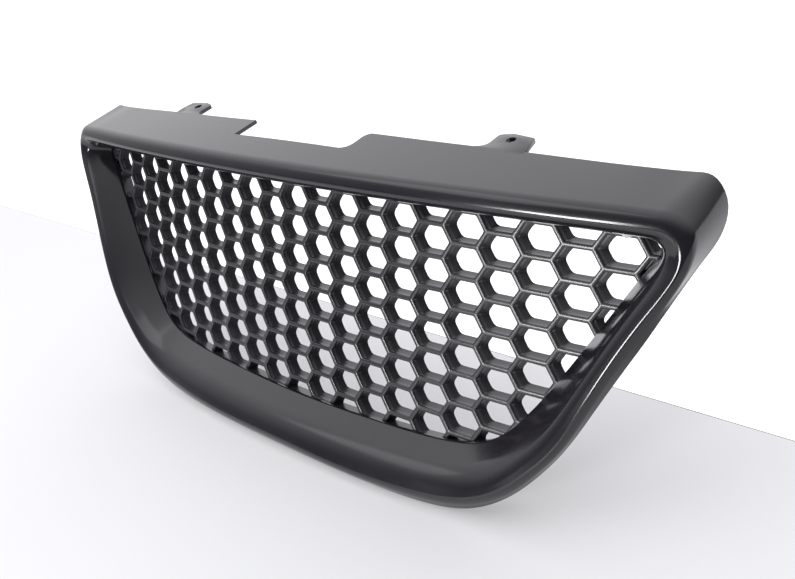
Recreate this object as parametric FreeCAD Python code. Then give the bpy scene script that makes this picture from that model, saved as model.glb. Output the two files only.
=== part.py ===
import FreeCAD, Part
import math
import os

# Honeycomb front grille, two mouldings and their screws.  Millimetres.
# The origin is midway between the two tab screw holes, on the tabs' top face.
# +X is the grille's right seen from the front, +Y is rearwards, +Z is up.
#
# The grille is described square to its honeycomb and then laid back:
#   u = across, v = up the honeycomb, d = distance in front of the honeycomb's face.

# Attitude of the grille in its own frame
LEAN = math.radians(23.0)      # the honeycomb leans back; the flange stays level
DATUM_Y = 45.9                 # from the centre cell to the tab holes, rearwards
DATUM_Z = 28.4                 # from the centre cell to the tabs' top face, upwards

# Honeycomb lattice
MESH_RADIUS = 1575.0           # bow of the honeycomb in plan
ROW_PITCH = 18.0               # cell to cell, up and down
COLUMN_PITCH = 21.7            # column to column, across
CELL_HALF_WIDTH = 13.8         # centre to side corner, on the wall centre lines
CELL_HALF_FLAT = 7.9           # half of the level top and bottom edges
SIDE_COLUMNS = 12              # columns either side of the centre one
TOP_ROW = 1
BOTTOM_ROW = -8
LAND = 2.8                     # wall thickness at the front face
REAR_LAND = 5.0                # wall thickness at the rear face
STRAIGHT_DEPTH = 3.0           # the walls are parallel this far back, then thicken
MESH_DEPTH = 8.0
SMALLEST_CELL = 60.0           # clipped cells smaller than this are left solid, mm3
CELL_MARGIN = 3.0              # overrun of the cutting shapes
SLAB_HALF_HEIGHT = 200.0
SLAB_REAR = 60.0

# Insert border behind the surround
CELL_REACH = 2.0               # cells run this far past the opening
RIM_WALL = 2.2                 # full-depth wall round the cells
BORDER = 12.0                  # flat border past the opening
BORDER_THICK = 2.5

# Surround
WALL = 2.5
LIP_GAP = 0.3                  # between the inner lip and the honeycomb
LIP_FRONT_D = 2.4
FUNNEL_FRACTION = 0.42         # where the steep inner wall turns into the face of the rim
FUNNEL_D = 16.0
FACE_FRACTION = 0.70
FACE_DROP = 1.4                # the face of the rim starts this far behind the crest

# Right half of the outline, from the top centre round to the bottom centre:
# (lip u, v), (crest u, v, d), (root u, v, d), (edge u, v, d).
# The root is the top of the brow above, and the rounding outside the crest elsewhere.
# The edge is the flange's rear edge above, and the thin outer lip elsewhere.
OUTLINE = [
    ((0, 9.8), (0, 16.4, 22.2), (0, 24.5, 21.3), (0, 41.7, -18.8)),
    ((49, 9.8), (49, 16.4, 22.2), (49, 24.5, 21.3), (49, 41.5, -18.5)),
    ((98, 9.8), (98, 16.4, 22.2), (98, 24.5, 21.3), (98, 40.9, -17.2)),
    ((160, 9.8), (163, 16.4, 22.2), (164, 24.5, 21.3), (165, 40.0, -15.5)),
    ((200, 9.8), (206, 16.4, 22.2), (207, 24.5, 21.3), (206, 39.2, -13.2)),
    ((220, 9.8), (229, 16.4, 22.2), (230, 24.5, 21.3), (228, 38.9, -12.6)),
    ((230, 9.6), (242, 16.2, 22.2), (242.5, 24.3, 21.2), (243, 38.9, -12.7)),
    ((235, 8.6), (250, 14.8, 22.2), (251, 22.8, 20.8), (252.5, 36.7, -12.4)),
    ((237.5, 5.5), (254.5, 10.5, 22.2), (258, 17, 20), (257.3, 27, -14)),
    ((235.5, 0.5), (255.5, 3, 22.2), (259, 6, 19.5), (258.2, 14, -9.5)),
    ((232, -4.5), (252.3, -6, 22.3), (254.7, -6, 19.5), (257, 3, 4)),
    ((226, -13.5), (243.6, -20.6, 22.7), (245.8, -21.5, 20.3), (247, -22.5, 16.2)),
    ((213, -34), (230.4, -43.6, 24.0), (232.4, -44.8, 21.5), (233.8, -46.6, 16.4)),
    ((196.5, -59.5), (216.7, -71.1, 25.3), (218.5, -72.2, 22.8), (219.2, -73, 17)),
    ((180, -83.4), (202, -97.6, 25.1), (203.8, -98.8, 22.6), (204, -99.2, 17)),
    ((168.5, -97.5), (187.3, -114.4, 24.1), (189.1, -116.2, 21.9), (190.1, -117.2, 16.6)),
    ((156, -109.3), (171, -129.2, 22.8), (172.7, -131.5, 20.8), (174, -133.4, 16.2)),
    ((140.5, -116.8), (149.6, -140.5, 21.8), (150.6, -143.3, 20.4), (152.6, -147, 16.2)),
    ((113, -121.3), (116.1, -147.2, 21.6), (116.7, -150.3, 20.3), (118.7, -154.8, 16.2)),
    ((70, -123.5), (71.8, -150.4, 21.6), (72.2, -153.4, 20.3), (73, -156.8, 16.2)),
    ((0, -125), (0, -150.2, 21.6), (0, -153.3, 20.3), (0, -157, 16.2)),
]

# Cut-out in the rear edge of the flange
NOTCH_LEFT = -58.0
NOTCH_RIGHT = 46.0
NOTCH_FRONT_Y = -31.4
NOTCH_CORNER = 7.0             # only the right-hand corners are rounded
NOTCH_MOUTH_R = 6.0
NOTCH_MOUTH_Y = -12.0          # the flange's rear edge beside the cut-out
NOTCH_HEIGHT = 10.0

# Mounting tabs
TAB_OUTLINE = [                # right-hand tab, x and y; the front runs into the flange
    (128.6, -16),
    (128.6, 2.6),
    (130.6, 4.9),
    (137, 6.7),
    (151.9, 4.3),
    (154.4, -7),
    (155.4, -16),
]
TAB_THICK = 2.5
HOLE_X = 139.5
HOLE_R = 2.75

# Screw bosses inside the surround, and the screws
SCREW_OFFSET = 8.0             # from the opening's edge to the screw axis
SCREW_STATIONS = [0, 3, 5, 12, 14, 16, 19]
BOSS_R = 2.75
BOSS_HEIGHT = 9.5
TOP_BOSS_HEIGHT = 18.0
PILOT_R = 1.3
SCREW_CLEAR_R = 1.8
SHANK_R = 1.3
SHANK_LENGTH = 6.5
HEAD_R = 3.2
HEAD_HEIGHT = 2.0
HEAD_ROUND = 0.9
RECESS_ARM = 3.4
RECESS_WIDTH = 0.9
RECESS_DEPTH = 1.2
PILOT_SPARE = 1.5
BORDER_CLEARANCE = 0.8

SAME = 1e-6                    # lengths closer than this are equal


def bow(u):
    """How far the honeycomb's face falls back at u."""
    return MESH_RADIUS - math.sqrt(MESH_RADIUS ** 2 - u ** 2)


def square(u, v, d):
    """A point in the frame square to the honeycomb."""
    return FreeCAD.Vector(u, bow(u) - d, v)


def laid_back(shape):
    """Turn a shape from the honeycomb's frame into the grille's own frame."""
    turned = shape.copy()
    turned.rotate(FreeCAD.Vector(0, 0, 0), FreeCAD.Vector(1, 0, 0), -math.degrees(LEAN))
    turned.translate(FreeCAD.Vector(0, -DATUM_Y, -DATUM_Z))
    return turned


def around(half):
    """Mirror a right-hand list of points into one closed run of points."""
    left = [(-p[0],) + tuple(p[1:]) for p in half[-2:0:-1]]
    return list(half) + left


def outline_parameters():
    """One knot per station, spaced by the distance along the crest."""
    crest = around([row[1] for row in OUTLINE])
    knots = [0.0]
    for here, there in zip(crest, crest[1:] + crest[:1]):
        knots.append(knots[-1] + math.dist(here, there))
    return knots


def closed_edge(points):
    """A smooth closed edge through one point per station."""
    curve = Part.BSplineCurve()
    curve.interpolate(Points=points, Parameters=outline_parameters(), PeriodicFlag=True)
    return curve.toShape()


def outward(row):
    """Unit vector from the opening to the crest."""
    du = row[1][0] - row[0][0]
    dv = row[1][1] - row[0][1]
    length = math.hypot(du, dv)
    return du / length, dv / length


def offset_profile(points, distance):
    """Shift an open profile sideways by a wall's thickness, with mitred corners."""
    normals = []
    for (s0, d0), (s1, d1) in zip(points, points[1:]):
        length = math.hypot(s1 - s0, d1 - d0)
        normals.append(((d1 - d0) / length, -(s1 - s0) / length))
    shifted = []
    for i, (s, d) in enumerate(points):
        before = normals[max(i - 1, 0)]
        after = normals[min(i, len(normals) - 1)]
        ns = before[0] + after[0]
        nd = before[1] + after[1]
        scale = 2.0 * distance / (ns * ns + nd * nd)
        shifted.append((s + ns * scale, d + nd * scale))
    return shifted


def section(row):
    """The surround's closed section at one station, as points (u, v, d)."""
    (lu, lv), (cu, cv, cd), root, edge = row
    skin = [
        (lu, lv, LIP_GAP),
        (lu, lv, LIP_FRONT_D),
        (lu + FUNNEL_FRACTION * (cu - lu), lv + FUNNEL_FRACTION * (cv - lv), FUNNEL_D),
        (lu + FACE_FRACTION * (cu - lu), lv + FACE_FRACTION * (cv - lv), cd - FACE_DROP),
        (cu, cv, cd),
        root,
        edge,
    ]
    eu, ev = outward(row)
    flat = [((u - lu) * eu + (v - lv) * ev, d) for u, v, d in skin]
    inner = offset_profile(flat, WALL)
    inner[0] = (inner[0][0], LIP_GAP)
    back = []
    for (u, v, d), (s0, d0), (s1, d1) in zip(skin, flat, inner):
        back.append((u + (s1 - s0) * eu, v + (s1 - s0) * ev, d + d1 - d0))
    return skin + back[::-1]


def ring():
    """The surround's shell: ruled bands between closed edges, right round the section."""
    sections = around_sections()
    edges = []
    for i in range(len(sections[0])):
        edges.append(closed_edge([square(*points[i]) for points in sections]))
    bands = []
    for here, there in zip(edges, edges[1:] + edges[:1]):
        bands.append(Part.makeRuledSurface(here, there))
    shell = Part.makeShell(bands)
    shell.sewShape()
    solid = Part.makeSolid(shell)
    if solid.Volume < 0:
        solid.reverse()
    return solid


def around_sections():
    """Every station's section, right half then left half mirrored."""
    right = [section(row) for row in OUTLINE]
    left = [[(-u, v, d) for u, v, d in points] for points in right[-2:0:-1]]
    return right + left


def outline_solid(offset, front, rear):
    """A block with the opening's outline, grown by offset, from front to rear along Y."""
    points = []
    for row in OUTLINE:
        eu, ev = outward(row)
        points.append((row[0][0] + offset * eu, row[0][1] + offset * ev))
    edge = closed_edge([FreeCAD.Vector(u, front, v) for u, v in around(points)])
    face = Part.Face(Part.Wire([edge]))
    return face.extrude(FreeCAD.Vector(0, rear - front, 0))


def bowed_slab(depth):
    """The space between the honeycomb's bowed front face and a face depth behind it."""
    base = FreeCAD.Vector(0, MESH_RADIUS, -SLAB_HALF_HEIGHT)
    up = FreeCAD.Vector(0, 0, 1)
    height = 2 * SLAB_HALF_HEIGHT
    outer = Part.makeCylinder(MESH_RADIUS, height, base, up)
    inner = Part.makeCylinder(MESH_RADIUS - depth, height, base, up)
    return outer.cut(inner)


def cell_wire(u, v, y, inset):
    """One cell's hexagon at depth y, inset from the wall centre lines."""
    half_height = ROW_PITCH / 2
    slope = (CELL_HALF_WIDTH - CELL_HALF_FLAT) / half_height
    side = CELL_HALF_WIDTH - inset * math.hypot(1, slope)
    top = half_height - inset
    flat = side - slope * top
    corners = [(side, 0), (flat, top), (-flat, top), (-side, 0), (-flat, -top), (flat, -top)]
    points = [FreeCAD.Vector(u + du, y, v + dv) for du, dv in corners]
    return Part.makePolygon(points + points[:1])


def cell_tool(u, v):
    """The hole of one cell: straight at the front, drawn in towards the rear."""
    face_y = bow(u)
    wires = [
        cell_wire(u, v, face_y - CELL_MARGIN, LAND / 2),
        cell_wire(u, v, face_y + STRAIGHT_DEPTH, LAND / 2),
        cell_wire(u, v, face_y + MESH_DEPTH, REAR_LAND / 2),
        cell_wire(u, v, face_y + MESH_DEPTH + CELL_MARGIN, REAR_LAND / 2),
    ]
    return Part.makeLoft(wires, True, True)


def cells():
    """Every cell hole, clipped where the cells stop behind the surround."""
    reach = outline_solid(CELL_REACH, -CELL_MARGIN * 2, SLAB_REAR)
    tools = []
    for column in range(-SIDE_COLUMNS, SIDE_COLUMNS + 1):
        drop = ROW_PITCH / 2 if column % 2 else 0
        for row in range(BOTTOM_ROW, TOP_ROW + 1):
            tool = cell_tool(column * COLUMN_PITCH, row * ROW_PITCH - drop)
            clipped = tool.common(reach)
            if clipped.Volume > SMALLEST_CELL:
                tools.extend(clipped.Solids)
    return tools


def screw_sites():
    """Each screw's u, v and boss height: right half, then the mirrored left half."""
    sites = []
    for index in SCREW_STATIONS:
        eu, ev = outward(OUTLINE[index])
        u = OUTLINE[index][0][0] + SCREW_OFFSET * eu
        v = OUTLINE[index][0][1] + SCREW_OFFSET * ev
        height = TOP_BOSS_HEIGHT if v > 0 else BOSS_HEIGHT
        sites.append((u, v, height))
        if u > BOSS_R:
            sites.append((-u, v, height))
    return sites


def forward(u):
    """Unit vector square to the honeycomb's bowed face at u."""
    return FreeCAD.Vector(u / MESH_RADIUS, -math.sqrt(1 - (u / MESH_RADIUS) ** 2), 0)


def rod(u, v, rear, front, radius):
    """A round rod square to the honeycomb's face, from rear to front of it."""
    start = square(u, v, 0) + forward(u) * rear
    return Part.makeCylinder(radius, front - rear, start, forward(u))


def honeycomb_insert():
    """The bowed honeycomb with a full-depth rim wall and a thin screwed border."""
    border = outline_solid(BORDER, -CELL_MARGIN, SLAB_REAR).common(bowed_slab(BORDER_THICK))
    core = outline_solid(CELL_REACH + RIM_WALL, -CELL_MARGIN, SLAB_REAR)
    body = border.fuse(core.common(bowed_slab(MESH_DEPTH)))
    holes = cells()
    for u, v, height in screw_sites():
        holes.append(rod(u, v, -MESH_DEPTH, CELL_MARGIN, SCREW_CLEAR_R))
    return laid_back(body.cut(holes))


def upright_edge(shape, x, y):
    """The upright edge of a block at x, y."""
    for edge in shape.Edges:
        if all(math.hypot(p.X - x, p.Y - y) < SAME for p in edge.Vertexes):
            return edge
    raise ValueError("no upright edge at %g, %g" % (x, y))


def notch_cutter():
    """The cut-out in the flange: square on the left, rounded on the right."""
    width = NOTCH_RIGHT - NOTCH_LEFT
    corner = FreeCAD.Vector(NOTCH_LEFT, NOTCH_FRONT_Y, -NOTCH_HEIGHT)
    block = Part.makeBox(width, -NOTCH_FRONT_Y, 2 * NOTCH_HEIGHT, corner)
    block = block.makeFillet(NOTCH_CORNER, [upright_edge(block, NOTCH_RIGHT, NOTCH_FRONT_Y)])
    base = FreeCAD.Vector(NOTCH_RIGHT, NOTCH_MOUTH_Y - NOTCH_MOUTH_R, -NOTCH_HEIGHT)
    mouth = Part.makeBox(NOTCH_MOUTH_R, NOTCH_MOUTH_R - NOTCH_MOUTH_Y, 2 * NOTCH_HEIGHT, base)
    centre = base + FreeCAD.Vector(NOTCH_MOUTH_R, 0, 0)
    mouth = mouth.cut(Part.makeCylinder(NOTCH_MOUTH_R, 2 * NOTCH_HEIGHT, centre))
    return [block, mouth]


def tab(side):
    """One level mounting tab, as a plate without its screw hole."""
    points = [FreeCAD.Vector(side * x, y, -TAB_THICK) for x, y in TAB_OUTLINE]
    face = Part.Face(Part.makePolygon(points + points[:1]))
    return face.extrude(FreeCAD.Vector(0, 0, TAB_THICK))


def surround():
    """The outer moulding: shell, screw bosses, cut-out and mounting tabs."""
    body = ring()
    posts = []
    pilots = []
    for u, v, height in screw_sites():
        posts.append(rod(u, v, -CELL_MARGIN, height, BOSS_R))
        pilots.append(rod(u, v, -CELL_MARGIN, SHANK_LENGTH - BORDER_THICK + PILOT_SPARE, PILOT_R))
    body = body.fuse(posts)
    behind = outline_solid(BORDER + BORDER_CLEARANCE, -CELL_MARGIN, SLAB_REAR)
    body = laid_back(body.cut(pilots).cut(behind_the_face(behind)))
    body = body.fuse([tab(1), tab(-1)])
    holes = []
    for side in (-1, 1):
        base = FreeCAD.Vector(side * HOLE_X, 0, -2 * TAB_THICK)
        holes.append(Part.makeCylinder(HOLE_R, 3 * TAB_THICK, base))
    return body.cut(holes + notch_cutter())


def behind_the_face(block):
    """The part of a block that lies behind the honeycomb's face."""
    base = FreeCAD.Vector(0, MESH_RADIUS, -SLAB_HALF_HEIGHT)
    face = Part.makeCylinder(MESH_RADIUS + LIP_GAP / 2, 2 * SLAB_HALF_HEIGHT, base)
    return block.common(face)


def screw(u, v):
    """A pan-head self-tapping screw with a cross recess, driven from behind."""
    start = FreeCAD.Vector(0, 0, 0)
    axis = FreeCAD.Vector(0, 0, 1)
    head = Part.makeCylinder(HEAD_R, HEAD_HEIGHT, start, axis)
    rim = [edge for edge in head.Edges if edge.CenterOfMass.z < SAME and edge.Closed]
    head = head.makeFillet(HEAD_ROUND, rim)
    for length, width in ((RECESS_ARM, RECESS_WIDTH), (RECESS_WIDTH, RECESS_ARM)):
        corner = FreeCAD.Vector(-length / 2, -width / 2, 0)
        head = head.cut(Part.makeBox(length, width, RECESS_DEPTH, corner))
    shank = Part.makeCylinder(SHANK_R, SHANK_LENGTH, axis * HEAD_HEIGHT, axis)
    body = head.fuse(shank)
    seat = square(u, v, 0) - forward(u) * (BORDER_THICK + HEAD_HEIGHT)
    body.Placement = FreeCAD.Placement(seat, FreeCAD.Rotation(axis, forward(u)))
    return body


def insert_screws():
    """All the insert's screws, one solid each."""
    return laid_back(Part.makeCompound([screw(u, v) for u, v, height in screw_sites()]))


os.makedirs("parts", exist_ok=True)
for name, shape in (
    ("surround", surround()),
    ("honeycomb_insert", honeycomb_insert()),
    ("insert_screws", insert_screws()),
):
    shape.exportStep("parts/" + name + ".step")
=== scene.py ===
"""Looks for a car's honeycomb front grille: a glossy black surround round a honeycomb insert.

Shapes are worked out in millimetres as (u, v, d): u across, v up the honeycomb,
d in front of the honeycomb's bowed face.  place() turns them into the row frame, in metres.
"""
import math

import bmesh
import bpy
import numpy as np
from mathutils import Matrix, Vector


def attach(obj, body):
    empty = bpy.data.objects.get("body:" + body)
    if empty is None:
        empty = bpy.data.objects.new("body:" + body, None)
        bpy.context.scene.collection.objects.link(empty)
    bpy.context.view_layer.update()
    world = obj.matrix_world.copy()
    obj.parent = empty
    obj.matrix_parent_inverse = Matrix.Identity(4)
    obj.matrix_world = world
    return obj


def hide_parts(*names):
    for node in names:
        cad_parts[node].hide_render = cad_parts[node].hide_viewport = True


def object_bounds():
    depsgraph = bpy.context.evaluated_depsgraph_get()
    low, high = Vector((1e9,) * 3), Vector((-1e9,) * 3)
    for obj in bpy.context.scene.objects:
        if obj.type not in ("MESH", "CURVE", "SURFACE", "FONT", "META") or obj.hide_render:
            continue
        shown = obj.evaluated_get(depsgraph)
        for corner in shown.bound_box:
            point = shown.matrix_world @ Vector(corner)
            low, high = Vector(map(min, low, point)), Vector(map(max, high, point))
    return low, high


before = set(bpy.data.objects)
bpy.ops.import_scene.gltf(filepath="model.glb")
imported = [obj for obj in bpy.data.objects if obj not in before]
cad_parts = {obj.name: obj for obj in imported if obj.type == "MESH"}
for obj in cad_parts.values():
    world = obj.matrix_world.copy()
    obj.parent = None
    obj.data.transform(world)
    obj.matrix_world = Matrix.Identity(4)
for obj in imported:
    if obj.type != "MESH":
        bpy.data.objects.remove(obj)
cad_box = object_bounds()

MM = 0.001

# Attitude and bow, as in the CAD
LEAN = math.radians(23.0)
DATUM_Y = 45.9
DATUM_Z = 28.4
MESH_RADIUS = 1575.0

# Honeycomb
ROW_PITCH = 18.0
COLUMN_PITCH = 21.7
CELL_HALF_WIDTH = 13.8
CELL_HALF_FLAT = 7.9
SIDE_COLUMNS = 12
TOP_ROW = 1
BOTTOM_ROW = -8
LAND = 2.8
REAR_LAND = 5.0
STRAIGHT_DEPTH = 3.0
MESH_DEPTH = 8.0
CELL_REACH = 2.0
SMALLEST_OPENING = 8.0         # clipped cells with less clear area than this stay solid, mm2
CORNER_STEPS = 4               # points round each corner of a cell
CROWN = 0.14                   # how the lands fall away from their centre lines, per mm
CROWN_STEPS = (0.0, 0.35, 0.65)
FRONT_ROUND = 0.45             # the lands' front edges
FRONT_ROUND_START = math.radians(15)
REAR_ROUND = 0.5
CELL_CORNER = 0.9              # how far a cell's corners are cut back at the front
REAR_CELL_CORNER = 2.4
DRAFT = [(0.0, -0.35, 0.9), (0.04, 0.0, 1.0), (0.12, 0.35, 1.1)]    # where the walls start to thicken
RIM_WALL = 2.2
RIM_OVERLAP = 0.6
RIM_CUTS = [0.2, 0.5, 0.5, 0.6, 0.5, 0.2]
RIM_STEPS = 3
BORDER = 12.0
BORDER_THICK = 2.5
COARSE = 160                   # points on the outline that chooses the cells
FINE = 320                     # points on the outline that cuts them
TOUCHING = 1.0                 # a cell with less area than this in reach is left out, mm2
BLOCK_FRONT_D = 25.0
BLOCK_REAR_D = -35.0

# Surround
WALL = 2.5
LIP_GAP = 0.3
LIP_FRONT_D = 2.4
FUNNEL_FRACTION = 0.42
FUNNEL_D = 16.0
FACE_FRACTION = 0.70
FACE_DROP = 1.4
NOSE_SHIFT = 0.15              # the brow's face starts this much nearer the lip
NOSE_DROP = 2.2                # and this much further back
AROUND = 640                   # points round the outline
LONGEST_STEP = 3.5             # along a section
SECTION_STEPS = 6              # round each corner of the section

# How far each corner of the section is cut back: out along the skin, back along the inner side
BROW_CUTS = [0.4, 0.9, 5.0, 4.0, 3.4, 4.2, 0.7, 0.7, 1.0, 1.0, 2.0, 4.0, 0.9, 0.4]
SKIRT_CUTS = [0.4, 0.9, 5.0, 4.0, 1.4, 1.4, 0.7, 0.7, 1.0, 1.0, 2.0, 4.0, 0.9, 0.4]

# Right half of the outline, from the top centre round to the bottom centre:
# lip u, v; crest u, v, d; root u, v, d; edge u, v, d.
OUTLINE = [
    (0, 9.8, 0, 16.4, 22.2, 0, 24.5, 21.3, 0, 41.7, -18.8),
    (49, 9.8, 49, 16.4, 22.2, 49, 24.5, 21.3, 49, 41.5, -18.5),
    (98, 9.8, 98, 16.4, 22.2, 98, 24.5, 21.3, 98, 40.9, -17.2),
    (160, 9.8, 163, 16.4, 22.2, 164, 24.5, 21.3, 165, 40.0, -15.5),
    (200, 9.8, 206, 16.4, 22.2, 207, 24.5, 21.3, 206, 39.2, -13.2),
    (220, 9.8, 229, 16.4, 22.2, 230, 24.5, 21.3, 228, 38.9, -12.6),
    (230, 9.6, 242, 16.2, 22.2, 242.5, 24.3, 21.2, 243, 38.9, -12.7),
    (235, 8.6, 250, 14.8, 22.2, 251, 22.8, 20.8, 252.5, 36.7, -12.4),
    (237.5, 5.5, 254.5, 10.5, 22.2, 258, 17, 20, 257.3, 27, -14),
    (235.5, 0.5, 255.5, 3, 22.2, 259, 6, 19.5, 258.2, 14, -9.5),
    (232, -4.5, 252.3, -6, 22.3, 254.7, -6, 19.5, 257, 3, 4),
    (226, -13.5, 243.6, -20.6, 22.7, 245.8, -21.5, 20.3, 247, -22.5, 16.2),
    (213, -34, 230.4, -43.6, 24.0, 232.4, -44.8, 21.5, 233.8, -46.6, 16.4),
    (196.5, -59.5, 216.7, -71.1, 25.3, 218.5, -72.2, 22.8, 219.2, -73, 17),
    (180, -83.4, 202, -97.6, 25.1, 203.8, -98.8, 22.6, 204, -99.2, 17),
    (168.5, -97.5, 187.3, -114.4, 24.1, 189.1, -116.2, 21.9, 190.1, -117.2, 16.6),
    (156, -109.3, 171, -129.2, 22.8, 172.7, -131.5, 20.8, 174, -133.4, 16.2),
    (140.5, -116.8, 149.6, -140.5, 21.8, 150.6, -143.3, 20.4, 152.6, -147, 16.2),
    (113, -121.3, 116.1, -147.2, 21.6, 116.7, -150.3, 20.3, 118.7, -154.8, 16.2),
    (70, -123.5, 71.8, -150.4, 21.6, 72.2, -153.4, 20.3, 73, -156.8, 16.2),
    (0, -125, 0, -150.2, 21.6, 0, -153.3, 20.3, 0, -157, 16.2),
]
SKIRT = [0.0] * 9 + [0.35, 0.8] + [1.0] * 10    # per row: 0 on the brow, 1 where the rim has a skirt

# Cut-out, tabs and bosses
NOTCH_LEFT = -58.0
NOTCH_RIGHT = 46.0
NOTCH_FRONT_Y = -31.4
NOTCH_CORNER = 7.0
NOTCH_MOUTH_R = 6.0
NOTCH_MOUTH_Y = -12.0
NOTCH_HEIGHT = 10.0
NOTCH_OVERLAP = 1.0
CUT_REAR_Y = 2.0               # behind every rear edge that is cut
ARC_STEPS = 10
TAB_REAR = [(128.6, 2.6), (129.1, 3.9), (130.6, 4.9), (137, 6.6), (151.2, 4.4), (152.1, 3.5), (154.4, -7)]
TAB_INNER_X = 128.6
TAB_OUTER_X = 155.0
TAB_FRONT_Y = -19.0
TAB_THICK = 2.5
TAB_BLEND = 5.0                # between the tab's inner side and the flange
TAB_BLEND_STEPS = 8
TAB_BEVEL = 0.25
TAB_LEVEL_Y = -4.0             # the tab is level behind this, and follows the flange in front
TAB_TURN = 5.0                 # how long it takes to do so
TAB_BENDS = (-10.5, -8.0, -6.0, TAB_LEVEL_Y)
TAB_DIP = 0.9                  # how far the front edge dips into the flange
FLANGE_REAR_Y = -9.9           # beside the tabs
FLANGE_FALL = 0.036            # how fast the flange's rear edge drops outwards there
HOLE_X = 139.5
HOLE_R = 2.75
HOLE_STEPS = 40
HOLE_LOW = -6.0
HOLE_HIGH = 3.0
SCREW_OFFSET = 8.0
SCREW_STATIONS = [0, 3, 5, 12, 14, 16, 19]
BOSS_R = 2.75
BOSS_CHAMFER = 0.3
BOSS_FLARE = 0.15              # wider by this at the wall
BOSS_REAR_D = 0.5
BOSS_HEIGHT = 7.5
TOP_BOSS_HEIGHT = 18.0
BOSS_STEPS = 28
SURROUND_SHARP = 38            # edges bent by more degrees than this stay sharp
HONEYCOMB_SHARP = 40


# ---------------------------------------------------------------- shape helpers

def bow(u):
    """How far the honeycomb's face has curved back at u."""
    return MESH_RADIUS - np.sqrt(MESH_RADIUS ** 2 - np.asarray(u) ** 2)


def place(points):
    """(u, v, d) in millimetres to the row frame in metres."""
    p = np.asarray(points, float)
    n = bow(p[..., 0]) - p[..., 2]
    y = n * math.cos(LEAN) + p[..., 1] * math.sin(LEAN) - DATUM_Y
    z = -n * math.sin(LEAN) + p[..., 1] * math.cos(LEAN) - DATUM_Z
    return np.stack([p[..., 0], y, z], -1) * MM


def closed_spline(knots, values, at):
    """A closed cubic through values at knots; the last knot closes the loop."""
    count = len(values)
    h = np.diff(knots)
    matrix = np.zeros((count, count))
    right = np.zeros((count, values.shape[1]))
    for i in range(count):
        before = h[i - 1]
        after = h[i]
        matrix[i, i - 1] += before
        matrix[i, i] += 2 * (before + after)
        matrix[i, (i + 1) % count] += after
        rise = (values[(i + 1) % count] - values[i]) / after
        fall = (values[i] - values[i - 1]) / before
        right[i] = 6 * (rise - fall)
    bend = np.linalg.solve(matrix, right)
    found = np.searchsorted(knots, at, side="right") - 1
    found = np.clip(found, 0, count - 1)
    step = h[found][:, None]
    t = (at - knots[found])[:, None]
    a = values[found]
    b = values[(found + 1) % count]
    ma = bend[found]
    mb = bend[(found + 1) % count]
    slope = (b - a) / step - step * (2 * ma + mb) / 6
    return a + slope * t + ma * t ** 2 / 2 + (mb - ma) * t ** 3 / (6 * step)


def stations(count):
    """The outline's eleven numbers and the skirt weight at count places round the grille."""
    right = np.array(OUTLINE, float)
    right = np.column_stack([right, SKIRT])
    left = right[-2:0:-1].copy()
    left[:, [0, 2, 5, 8]] *= -1
    rows = np.vstack([right, left])
    crest = rows[:, 2:5]
    gaps = np.linalg.norm(np.roll(crest, -1, axis=0) - crest, axis=1)
    knots = np.concatenate([[0], np.cumsum(gaps)])
    at = np.linspace(0, knots[-1], count, endpoint=False)
    return closed_spline(knots, rows, at)


def outward(rows):
    """The way from lip to crest in u and v, one long."""
    way = rows[:, 2:4] - rows[:, 0:2]
    return way / np.linalg.norm(way, axis=1)[:, None]


def rounded(points, cuts, steps):
    """A closed line (corner, place, 3) with each corner replaced by a curve cut back by cuts."""
    out = []
    count = len(points)
    for i in range(count):
        here = points[i]
        back = points[i - 1] - here
        on = points[(i + 1) % count] - here
        back_length = np.linalg.norm(back, axis=1)[:, None]
        on_length = np.linalg.norm(on, axis=1)[:, None]
        cut = np.minimum(np.minimum(cuts[i], 0.46 * back_length), 0.46 * on_length)
        start = here + back / back_length * cut
        end = here + on / on_length * cut
        for t in np.linspace(0, 1, steps + 1):
            out.append(start * (1 - t) ** 2 + here * 2 * t * (1 - t) + end * t ** 2)
    return out


def subdivided(points, longest):
    """Extra points along the long straight runs of a closed section."""
    out = []
    for here, there in zip(points, points[1:] + points[:1]):
        out.append(here)
        length = np.linalg.norm(there - here, axis=1).max()
        if length > longest:
            near = min(0.5, longest / 4) / length
            extra = max(1, int(length / longest))
            marks = [near] + list(np.linspace(0, 1, extra + 2)[1:-1]) + [1 - near]
            for t in marks:
                out.append(here + (there - here) * t)
    return out


def swept(name, section):
    """A mesh from a section's points at every place round; the section and the sweep both close."""
    rings = [np.stack([point[i] for point in section]) for i in range(AROUND)]
    verts = place(np.stack(rings))
    sections, count = verts.shape[:2]
    flat = verts.reshape(-1, 3)
    faces = []
    for i in range(sections):
        j = (i + 1) % sections
        for k in range(count):
            m = (k + 1) % count
            faces.append((i * count + k, j * count + k, j * count + m, i * count + m))
    mesh = bpy.data.meshes.new(name)
    mesh.from_pydata(flat.tolist(), [], faces)
    return new_object(name, mesh)


def new_object(name, mesh):
    found = bpy.data.objects.new(name, mesh)
    bpy.context.scene.collection.objects.link(found)
    outside_out(mesh)
    return found


def outside_out(mesh):
    bm = bmesh.new()
    bm.from_mesh(mesh)
    bmesh.ops.remove_doubles(bm, verts=bm.verts, dist=1e-6)
    bmesh.ops.dissolve_degenerate(bm, dist=1e-7, edges=bm.edges)
    bmesh.ops.recalc_face_normals(bm, faces=bm.faces)
    bm.to_mesh(mesh)
    bm.free()


def combine(target, tool, operation):
    """A lasting boolean; the tool is thrown away."""
    change = target.modifiers.new("change", "BOOLEAN")
    change.operation = operation
    change.solver = "EXACT"
    change.object = tool
    evaluated = target.evaluated_get(bpy.context.evaluated_depsgraph_get())
    mesh = bpy.data.meshes.new_from_object(evaluated)
    target.modifiers.clear()
    target.data = mesh
    bpy.data.objects.remove(tool)


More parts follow.
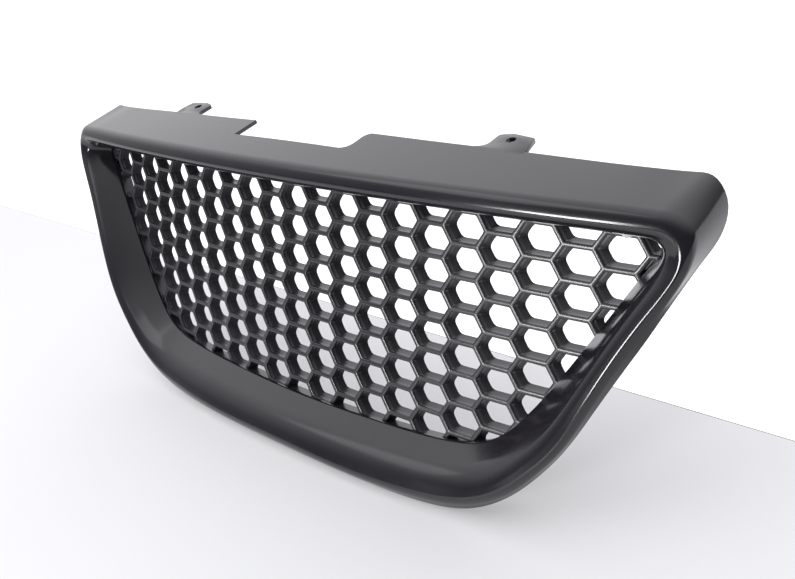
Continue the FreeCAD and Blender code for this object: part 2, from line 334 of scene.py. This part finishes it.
def join(target, extra):
    """Put another object's mesh into target's."""
    bm = bmesh.new()
    bm.from_mesh(target.data)
    bm.from_mesh(extra.data)
    bm.to_mesh(target.data)
    bm.free()
    bpy.data.objects.remove(extra)


def smooth(found, degrees):
    found.data.shade_smooth()
    found.data.set_sharp_from_angle(angle=math.radians(degrees))


def prism(name, outline, low, high, bevel=0.0):
    """An upright block from a flat outline, in millimetres of the row frame."""
    bm = bmesh.new()
    base = [bm.verts.new((x * MM, y * MM, low * MM)) for x, y in outline]
    face = bm.faces.new(base)
    grown = bmesh.ops.extrude_face_region(bm, geom=[face])
    top = [g for g in grown["geom"] if isinstance(g, bmesh.types.BMVert)]
    bmesh.ops.translate(bm, verts=top, vec=(0, 0, (high - low) * MM))
    if bevel:
        bmesh.ops.recalc_face_normals(bm, faces=bm.faces)
        rims = [e for e in bm.edges if abs(e.verts[0].co.z - e.verts[1].co.z) < 1e-7]
        bmesh.ops.bevel(bm, geom=rims, offset=bevel * MM, segments=2, affect="EDGES", profile=0.5)
    mesh = bpy.data.meshes.new(name)
    bm.to_mesh(mesh)
    bm.free()
    return new_object(name, mesh)


def arc(x, y, radius, start, end, steps):
    angles = np.radians(np.linspace(start, end, steps + 1))
    return [(x + radius * math.cos(a), y + radius * math.sin(a)) for a in angles]


def boss(u, v, height):
    """A turned post square to the honeycomb at u, v, up to the wall in front."""
    profile = [(BOSS_R - BOSS_CHAMFER, BOSS_REAR_D), (BOSS_R, BOSS_REAR_D + BOSS_CHAMFER),
               (BOSS_R + BOSS_FLARE, height)]
    slant = u / MESH_RADIUS
    forward = np.array([slant, -math.sqrt(1 - slant ** 2), 0.0])
    across = np.array([-forward[1], forward[0], 0.0])
    origin = np.array([u, float(bow(u)), v])
    angles = np.linspace(0, 2 * math.pi, BOSS_STEPS, endpoint=False)
    circle = np.outer(np.cos(angles), across) + np.outer(np.sin(angles), (0, 0, 1))
    points = np.stack([origin + forward * d + radius * circle for radius, d in profile])
    y = points[..., 1] * math.cos(LEAN) + points[..., 2] * math.sin(LEAN) - DATUM_Y
    z = -points[..., 1] * math.sin(LEAN) + points[..., 2] * math.cos(LEAN) - DATUM_Z
    flat = np.stack([points[..., 0], y, z], -1).reshape(-1, 3) * MM
    faces = []
    for i in range(len(profile) - 1):
        low = i * BOSS_STEPS
        high = low + BOSS_STEPS
        for k in range(BOSS_STEPS):
            m = (k + 1) % BOSS_STEPS
            faces.append((low + k, high + k, high + m, low + m))
    faces.append(tuple(range(BOSS_STEPS)))
    faces.append(tuple(high + k for k in range(BOSS_STEPS)))
    mesh = bpy.data.meshes.new("boss")
    mesh.from_pydata(flat.tolist(), [], faces)
    return new_object("boss", mesh)


# ---------------------------------------------------------------- surround

def skin_corners(rows):
    """The front skin's corners at every place round the outline; the brow's nose is rounder."""
    brow = 1 - np.clip(rows[:, 11], 0, 1)
    lip = rows[:, 0:2]
    crest = rows[:, 2:4]
    crest_d = rows[:, 4]
    root = rows[:, 5:8]
    edge = rows[:, 8:11]

    def on_slope(fraction, d):
        uv = lip + np.reshape(fraction, (-1, 1)) * (crest - lip)
        return np.column_stack([uv, np.zeros(len(rows)) + d])

    return [
        on_slope(0.0, LIP_GAP),
        on_slope(0.0, LIP_FRONT_D),
        on_slope(FUNNEL_FRACTION, FUNNEL_D),
        on_slope(FACE_FRACTION - NOSE_SHIFT * brow, crest_d - FACE_DROP - NOSE_DROP * brow),
        on_slope(1.0, crest_d),
        root,
        edge,
    ]


def inner_corners(rows, skin):
    """The skin's corners shifted inwards by the wall's thickness."""
    lip = rows[:, 0:2]
    way = outward(rows)
    flat = [np.column_stack([((p[:, :2] - lip) * way).sum(1), p[:, 2]]) for p in skin]
    normals = []
    for a, b in zip(flat, flat[1:]):
        run = b - a
        length = np.linalg.norm(run, axis=1)[:, None]
        normals.append(np.column_stack([run[:, 1], -run[:, 0]]) / length)
    inner = []
    for i, (corner, place_in) in enumerate(zip(skin, flat)):
        total = normals[max(i - 1, 0)] + normals[min(i, len(normals) - 1)]
        scale = 2 * WALL / (total ** 2).sum(1)[:, None]
        move = total * scale
        if i == 0:
            move[:, 1] = 0
        shifted = corner.copy()
        shifted[:, :2] += move[:, :1] * way
        shifted[:, 2] += move[:, 1]
        inner.append(shifted)
    return inner


def build_surround():
    """The outer moulding: shell, cut-out, mounting tabs and screw bosses."""
    rows = stations(AROUND)
    skirt = np.clip(rows[:, 11:12], 0, 1)
    skin = skin_corners(rows)
    inner = inner_corners(rows, skin)
    corners = skin + inner[::-1]
    cuts = [brow + (below - brow) * skirt for brow, below in zip(BROW_CUTS, SKIRT_CUTS)]
    section = rounded(corners, cuts, SECTION_STEPS)
    body = swept("surround_moulding", subdivided(section, LONGEST_STEP))
    combine(body, notch_tool(), "DIFFERENCE")
    combine(body, mouth_tool(), "DIFFERENCE")
    for side in (-1, 1):
        combine(body, tab_plate(side), "UNION")
    for side in (-1, 1):
        hole = arc(side * HOLE_X, 0, HOLE_R, 0, 360, HOLE_STEPS)[:-1]
        combine(body, prism("hole", hole, HOLE_LOW, HOLE_HIGH), "DIFFERENCE")
    outside_out(body.data)
    for u, v, height in screw_sites():
        join(body, boss(u, v, height))
    smooth(body, SURROUND_SHARP)
    return body


def notch_tool():
    """What the cut-out in the flange's rear edge takes away."""
    outline = [(NOTCH_LEFT, CUT_REAR_Y), (NOTCH_LEFT, NOTCH_FRONT_Y)]
    outline += arc(NOTCH_RIGHT - NOTCH_CORNER, NOTCH_FRONT_Y + NOTCH_CORNER, NOTCH_CORNER, -90, 0, ARC_STEPS)
    outline += [(NOTCH_RIGHT, CUT_REAR_Y)]
    return prism("notch", outline, -NOTCH_HEIGHT, NOTCH_HEIGHT)


def mouth_tool():
    """What rounds the cut-out's right-hand mouth."""
    inside = NOTCH_RIGHT - NOTCH_OVERLAP
    outside = NOTCH_RIGHT + NOTCH_MOUTH_R
    low = NOTCH_MOUTH_Y - NOTCH_MOUTH_R
    outline = [(inside, low), (inside, CUT_REAR_Y), (outside, CUT_REAR_Y)]
    outline += arc(outside, low, NOTCH_MOUTH_R, 90, 180, ARC_STEPS)
    return prism("mouth", outline, -NOTCH_HEIGHT, NOTCH_HEIGHT)


def tab_plate(side):
    """A tab whose top runs forward and down into the flange, so that no step shows."""
    outline = [(TAB_OUTER_X, TAB_FRONT_Y), (TAB_INNER_X - 2 * TAB_BLEND, TAB_FRONT_Y)]
    blend_y = FLANGE_REAR_Y + TAB_BLEND
    outline += arc(TAB_INNER_X - TAB_BLEND, blend_y, TAB_BLEND, -90, 0, TAB_BLEND_STEPS)
    outline += TAB_REAR
    plate = prism("tab", [(side * x, y) for x, y in outline], -TAB_THICK, 0, bevel=TAB_BEVEL)
    bm = bmesh.new()
    bm.from_mesh(plate.data)
    for y in TAB_BENDS:
        everything = bm.verts[:] + bm.edges[:] + bm.faces[:]
        bmesh.ops.bisect_plane(bm, geom=everything, plane_co=(0, y * MM, 0), plane_no=(0, 1, 0))
    for vert in bm.verts:
        nearness = min(1.0, max(0.0, (TAB_LEVEL_Y - vert.co.y / MM) / TAB_TURN))
        vert.co.z += nearness * FLANGE_FALL * (HOLE_X * MM - abs(vert.co.x))
        if vert.co.y < (TAB_FRONT_Y + 1) * MM and vert.co.z > -1 * MM:
            vert.co.z -= TAB_DIP * MM
    bm.to_mesh(plate.data)
    bm.free()
    return plate


def screw_sites():
    """Each boss's u, v and height: right half, then its mirrored twin."""
    rows = np.array(OUTLINE, float)
    sites = []
    for index in SCREW_STATIONS:
        row = rows[index:index + 1]
        u, v = row[0, 0:2] + SCREW_OFFSET * outward(row)[0]
        height = TOP_BOSS_HEIGHT if v > 0 else BOSS_HEIGHT
        sites.append((u, v, height))
        if u > BOSS_R:
            sites.append((-u, v, height))
    return sites


# ---------------------------------------------------------------- honeycomb

def cell_corners(inset):
    """A hexagon inset from the walls' centre lines, about (0, 0)."""
    half = ROW_PITCH / 2
    slope = (CELL_HALF_WIDTH - CELL_HALF_FLAT) / half
    side = CELL_HALF_WIDTH - inset * math.hypot(1, slope)
    top = half - inset
    flat = side - slope * top
    return np.array([(side, 0), (flat, top), (-flat, top), (-side, 0), (-flat, -top), (flat, -top)])


def cell_ring(inset, corner_cut):
    """The same hexagon with rounded corners, always with the same number of points."""
    corners = cell_corners(inset)
    ring = []
    for i in range(6):
        here = corners[i]
        back = corners[i - 1] - here
        on = corners[(i + 1) % 6] - here
        start = here + back / np.linalg.norm(back) * corner_cut
        end = here + on / np.linalg.norm(on) * corner_cut
        for t in np.linspace(0, 1, CORNER_STEPS):
            ring.append(start * (1 - t) ** 2 + here * 2 * t * (1 - t) + end * t ** 2)
    return np.array(ring)


def wall_profile():
    """(inset, depth, corner cut) from the land's centre line in and back to the rear."""
    crown = LAND / 2 - FRONT_ROUND
    offset = FRONT_ROUND * math.sin(FRONT_ROUND_START)
    profile = [(x, CROWN * x * x, CELL_CORNER * x) for x in CROWN_STEPS]
    for angle in np.linspace(FRONT_ROUND_START, math.pi / 2, 5):
        inset = crown + FRONT_ROUND * math.sin(angle) - offset * math.cos(angle)
        profile.append((inset, CROWN * crown ** 2 + FRONT_ROUND * (1 - math.cos(angle)), CELL_CORNER))
    for more, depth, cut in DRAFT:
        profile.append((LAND / 2 + more, STRAIGHT_DEPTH + depth, cut))
    profile.append((REAR_LAND / 2 - 0.1, MESH_DEPTH - REAR_ROUND - 0.2, 2.2))
    for angle in np.linspace(0, math.pi / 2, 3):
        inset = REAR_LAND / 2 - REAR_ROUND + REAR_ROUND * math.cos(angle)
        profile.append((inset, MESH_DEPTH - REAR_ROUND + REAR_ROUND * math.sin(angle), REAR_CELL_CORNER))
    profile.append((0.0, MESH_DEPTH, 0.0))
    return profile


def clip(polygon, outline):
    """The part of a convex polygon inside a convex anticlockwise outline."""
    points = [np.array(p) for p in polygon]
    for a, b in zip(outline, np.roll(outline, -1, axis=0)):
        if not points:
            break
        run = b - a
        sides = [run[0] * (p[1] - a[1]) - run[1] * (p[0] - a[0]) for p in points]
        kept = []
        for i, p in enumerate(points):
            before = sides[i - 1]
            here = sides[i]
            if (here >= 0) != (before >= 0):
                t = before / (before - here)
                kept.append(points[i - 1] + t * (p - points[i - 1]))
            if here >= 0:
                kept.append(p)
        points = kept
    return points


def area(points):
    """A polygon's area."""
    if len(points) < 3:
        return 0.0
    p = np.array(points)
    q = np.roll(p, -1, axis=0)
    return abs(float((p[:, 0] * q[:, 1] - q[:, 0] * p[:, 1]).sum())) / 2


def reach_outline(offset, count):
    """The opening's outline grown by offset, anticlockwise."""
    rows = stations(count)
    uv = rows[:, 0:2] + offset * outward(rows)
    return uv[::-1]


def build_lattice():
    """Every cell's walls, joined, before the outline is cut."""
    profile = wall_profile()
    rings = [cell_ring(inset, cut) for inset, depth, cut in profile]
    depths = [depth for inset, depth, cut in profile]
    full = cell_corners(0.0)
    outline = reach_outline(CELL_REACH, COARSE)
    wide = reach_outline(CELL_REACH + ROW_PITCH, COARSE)
    verts = []
    faces = []
    uses = {}
    for column in range(-SIDE_COLUMNS - 1, SIDE_COLUMNS + 2):
        drop = ROW_PITCH / 2 if column % 2 else 0
        for row in range(BOTTOM_ROW - 1, TOP_ROW + 2):
            centre = np.array([column * COLUMN_PITCH, row * ROW_PITCH - drop])
            if area(clip(full + centre, wide)) < TOUCHING:
                continue
            clear = area(clip(cell_corners(REAR_LAND / 2) + centre, outline))
            corners = full + centre
            for a, b in zip(corners, np.roll(corners, -1, axis=0)):
                key = frozenset((tuple(np.round(a, 2)), tuple(np.round(b, 2))))
                uses.setdefault(key, []).append((a, b))
            if clear < SMALLEST_OPENING:
                for d, turn in ((0.0, 1), (-MESH_DEPTH, -1)):
                    start = len(verts)
                    verts.extend([(x, y, d) for x, y in corners])
                    faces.append(tuple(range(start, start + 6))[::turn])
                continue
            start = len(verts)
            count = len(rings[0])
            for ring, depth in zip(rings, depths):
                verts.extend([(x, y, -depth) for x, y in ring + centre])
            for i in range(len(rings) - 1):
                for k in range(count):
                    m = (k + 1) % count
                    faces.append((start + i * count + k, start + i * count + m,
                                  start + (i + 1) * count + m, start + (i + 1) * count + k))
    for edges in uses.values():
        if len(edges) == 1:
            a, b = edges[0]
            start = len(verts)
            for end, d in ((a, 0.0), (b, 0.0), (b, -MESH_DEPTH), (a, -MESH_DEPTH)):
                verts.append((end[0], end[1], d))
            faces.append(tuple(range(start, start + 4)))
    mesh = bpy.data.meshes.new("lattice")
    mesh.from_pydata(place(np.array(verts)).tolist(), [], faces)
    return new_object("honeycomb_moulding", mesh)


def outline_block(offset):
    """A block with the opening's outline, grown by offset, through the honeycomb."""
    uv = reach_outline(offset, FINE)
    rings = []
    for d in (BLOCK_FRONT_D, BLOCK_REAR_D):
        rings.append(np.column_stack([uv, np.full(len(uv), d) + bow(uv[:, 0])]))
    verts = np.concatenate([place(r) for r in rings])
    count = len(uv)
    faces = [(k, (k + 1) % count, count + (k + 1) % count, count + k) for k in range(count)]
    faces += [tuple(range(count)), tuple(range(2 * count - 1, count - 1, -1))]
    mesh = bpy.data.meshes.new("block")
    mesh.from_pydata(verts.tolist(), [], faces)
    return new_object("block", mesh)


def build_rim():
    """The full-depth wall round the cells and the thin border outside it."""
    rows = stations(AROUND)
    way = outward(rows)
    near = CELL_REACH - RIM_OVERLAP
    wall = CELL_REACH + RIM_WALL
    shape = [(near, 0.0), (BORDER, 0.0), (BORDER, -BORDER_THICK), (wall, -BORDER_THICK),
             (wall, -MESH_DEPTH), (near, -MESH_DEPTH)]
    corners = [np.column_stack([rows[:, 0:2] + s * way, np.full(len(rows), d)]) for s, d in shape]
    section = rounded(corners, RIM_CUTS, RIM_STEPS)
    return swept("rim", subdivided(section, LONGEST_STEP))


def build_honeycomb():
    """The insert: cells, the wall round them and the border."""
    body = build_lattice()
    combine(body, outline_block(CELL_REACH), "INTERSECT")
    join(body, build_rim())
    smooth(body, HONEYCOMB_SHARP)
    return body


# ---------------------------------------------------------------- materials

class Nodes:
    """A short way to lay out a material's nodes."""

    def __init__(self, name):
        self.material = bpy.data.materials.new(name)
        self.material.use_nodes = True
        self.tree = self.material.node_tree
        self.shader = self.tree.nodes["Principled BSDF"]
        self.coordinates = self.add("ShaderNodeTexCoord").outputs["Object"]

    def add(self, kind, **settings):
        node = self.tree.nodes.new(kind)
        for key, value in settings.items():
            setattr(node, key, value)
        return node

    def join(self, source, target):
        self.tree.links.new(source, target)

    def noise(self, scale, detail, roughness=0.55):
        node = self.add("ShaderNodeTexNoise")
        node.inputs["Scale"].default_value = scale
        node.inputs["Detail"].default_value = detail
        node.inputs["Roughness"].default_value = roughness
        self.join(self.coordinates, node.inputs["Vector"])
        return node.outputs["Fac"]

    def ramp(self, source, low, high, start=0.35, end=0.65):
        node = self.add("ShaderNodeMapRange")
        node.inputs["From Min"].default_value = start
        node.inputs["From Max"].default_value = end
        node.inputs["To Min"].default_value = low
        node.inputs["To Max"].default_value = high
        self.join(source, node.inputs["Value"])
        return node.outputs["Result"]

    def mix(self, factor, first, second):
        node = self.add("ShaderNodeMix", data_type="RGBA")
        self.join(factor, node.inputs["Factor"])
        for socket, value in ((node.inputs["A"], first), (node.inputs["B"], second)):
            if isinstance(value, tuple):
                socket.default_value = value
            else:
                self.join(value, socket)
        return node.outputs["Result"]

    def add_up(self, first, second):
        node = self.add("ShaderNodeMath", operation="ADD", use_clamp=True)
        self.join(first, node.inputs[0])
        self.join(second, node.inputs[1])
        return node.outputs[0]

    def bump(self, heights):
        """Stack bumps: (height socket, strength, distance in metres)."""
        normal = None
        for height, strength, distance in heights:
            node = self.add("ShaderNodeBump")
            node.inputs["Strength"].default_value = strength
            node.inputs["Distance"].default_value = distance
            self.join(height, node.inputs["Height"])
            if normal is not None:
                self.join(normal, node.inputs["Normal"])
            normal = node.outputs["Normal"]
        self.join(normal, self.shader.inputs["Normal"])

    def edges(self):
        """1 along sharp outer edges, 0 elsewhere."""
        pointed = self.add("ShaderNodeNewGeometry").outputs["Pointiness"]
        return self.ramp(pointed, 0.0, 1.0, 0.53, 0.62)


def tinted(tone, factor, lift=0.0):
    return tuple(min(1.0, c * factor + lift) for c in tone) + (1.0,)


def moulded_black(name, tone, rough_low, rough_high):
    """Black plastic with a cloudy tone, a little dust, paler worn edges and a soft ripple."""
    n = Nodes(name)
    cloud = n.noise(9.0, 3.0)
    fine = n.noise(420.0, 3.0)
    dust = n.ramp(n.noise(60.0, 6.0, 0.7), 0.0, 1.0, 0.56, 0.72)
    colour = n.mix(n.ramp(cloud, 0.0, 1.0), tinted(tone, 0.86), tinted(tone, 1.14))
    colour = n.mix(n.ramp(n.edges(), 0.0, 0.35, 0.0, 1.0), colour, tinted(tone, 2.6, 0.012))
    n.join(colour, n.shader.inputs["Base Color"])
    rough = n.add_up(n.ramp(cloud, rough_low, rough_high), n.ramp(dust, 0.0, 0.05, 0.0, 1.0))
    n.join(rough, n.shader.inputs["Roughness"])
    n.bump([(n.noise(22.0, 2.0), 0.35, 0.00025), (fine, 0.07, 0.00004)])
    n.shader.inputs["IOR"].default_value = 1.54
    return n.material


def zinc(name):
    """Zinc plate with a fine grain."""
    n = Nodes(name)
    cloud = n.noise(160.0, 5.0, 0.6)
    colour = n.mix(n.ramp(cloud, 0.0, 1.0), (0.42, 0.42, 0.40, 1.0), (0.66, 0.66, 0.63, 1.0))
    n.join(colour, n.shader.inputs["Base Color"])
    n.join(n.ramp(cloud, 0.28, 0.46), n.shader.inputs["Roughness"])
    n.shader.inputs["Metallic"].default_value = 1.0
    n.bump([(n.noise(900.0, 3.0), 0.2, 0.00003)])
    return n.material


def pale(name, tone, glow):
    """A plain studio sheet, lifted by a little light of its own."""
    n = Nodes(name)
    cloud = n.noise(3.0, 4.0)
    colour = n.mix(n.ramp(cloud, 0.0, 1.0), tinted(tone, 0.985), tinted(tone, 1.0))
    n.join(colour, n.shader.inputs["Base Color"])
    n.join(colour, n.shader.inputs["Emission Color"])
    n.shader.inputs["Emission Strength"].default_value = glow
    n.shader.inputs["Roughness"].default_value = 0.6
    n.bump([(n.noise(300.0, 3.0), 0.1, 0.0001)])
    return n.material


# ---------------------------------------------------------------- the object

black = moulded_black("surround_black", (0.014, 0.0127, 0.0165), 0.13, 0.18)
mesh_black = moulded_black("honeycomb_black", (0.030, 0.028, 0.033), 0.24, 0.32)
steel = zinc("zinc_steel")

surround = build_surround()
surround.data.materials.append(black)
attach(surround, "root")
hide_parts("surround")

honeycomb = build_honeycomb()
honeycomb.data.materials.append(mesh_black)
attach(honeycomb, "root")
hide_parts("honeycomb_insert")

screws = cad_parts["insert_screws"]
for slot in screws.material_slots:
    slot.material = steel


# ---------------------------------------------------------------- stage

FLOOR_Z = cad_box[0].z - 0.0003
REAR_Y = cad_box[1].y + 0.002  # where the brighter rear floor starts
SEAM = 0.0004                  # between the two sheets
STAGE_REACH = 4.0


def sheet(name, front_y, rear_y, tone, glow):
    """A level sheet as wide as the stage, between two distances."""
    mesh = bpy.data.meshes.new(name)
    corners = [(-STAGE_REACH, front_y, FLOOR_Z), (STAGE_REACH, front_y, FLOOR_Z),
               (STAGE_REACH, rear_y, FLOOR_Z), (-STAGE_REACH, rear_y, FLOOR_Z)]
    mesh.from_pydata(corners, [], [(0, 1, 2, 3)])
    found = bpy.data.objects.new(name, mesh)
    bpy.context.scene.collection.objects.link(found)
    mesh.materials.append(pale(name + "_paint", tone, glow))


sheet("floor", -STAGE_REACH, REAR_Y - SEAM, (0.60, 0.60, 0.61), 0.34)
sheet("rear_floor", REAR_Y, STAGE_REACH, (0.86, 0.86, 0.87), 0.55)


def square_light(name, location, target, size, power):
    data = bpy.data.lights.new(name, "AREA")
    data.size = size
    data.energy = power
    found = bpy.data.objects.new(name, data)
    bpy.context.scene.collection.objects.link(found)
    found.location = location
    away = Vector(target) - Vector(location)
    found.rotation_euler = away.to_track_quat("-Z", "Y").to_euler()


square_light("low_softbox", (-0.25, -1.36, 0.225), (0.2, -0.06, -0.005), size=0.30, power=9)
square_light("high_key", (-0.9, -1.0, 1.6), (0, -0.02, -0.08), size=1.2, power=5)

SKY_WAY = (-0.35, 0.45, 0.75)  # the sky is brightest this way
SKY_SPREAD = (-0.10, 1.0)
SKY_STRENGTH = (0.10, 1.75)
SKY_COLOUR = (0.97, 0.97, 1.0, 1.0)


def studio_world():
    """Bright above and behind, to the left, fading to a dim room at the front."""
    world = bpy.data.worlds.new("studio")
    world.use_nodes = True
    tree = world.node_tree
    direction = tree.nodes.new("ShaderNodeTexCoord").outputs["Generated"]
    dot = tree.nodes.new("ShaderNodeVectorMath")
    dot.operation = "DOT_PRODUCT"
    dot.inputs[1].default_value = SKY_WAY
    tree.links.new(direction, dot.inputs[0])
    ramp = tree.nodes.new("ShaderNodeMapRange")
    ramp.interpolation_type = "SMOOTHSTEP"
    ramp.inputs["From Min"].default_value = SKY_SPREAD[0]
    ramp.inputs["From Max"].default_value = SKY_SPREAD[1]
    ramp.inputs["To Min"].default_value = SKY_STRENGTH[0]
    ramp.inputs["To Max"].default_value = SKY_STRENGTH[1]
    tree.links.new(dot.outputs["Value"], ramp.inputs["Value"])
    back = tree.nodes["Background"]
    back.inputs["Color"].default_value = SKY_COLOUR
    tree.links.new(ramp.outputs["Result"], back.inputs["Strength"])
    bpy.context.scene.world = world


studio_world()
bpy.context.scene.view_settings.view_transform = "Standard"

CAMERA_AT = (0.43957, -0.34035, 0.21019)
CAMERA_TURN = (57.066, 15.783, 41.605)    # degrees

camera_data = bpy.data.cameras.new("camera")
camera_data.lens = 43.0
camera_data.sensor_width = 36.0
camera = bpy.data.objects.new("camera", camera_data)
bpy.context.scene.collection.objects.link(camera)
camera.location = CAMERA_AT
camera.rotation_euler = [math.radians(angle) for angle in CAMERA_TURN]
camera_data.clip_start = 0.01
bpy.context.scene.camera = camera
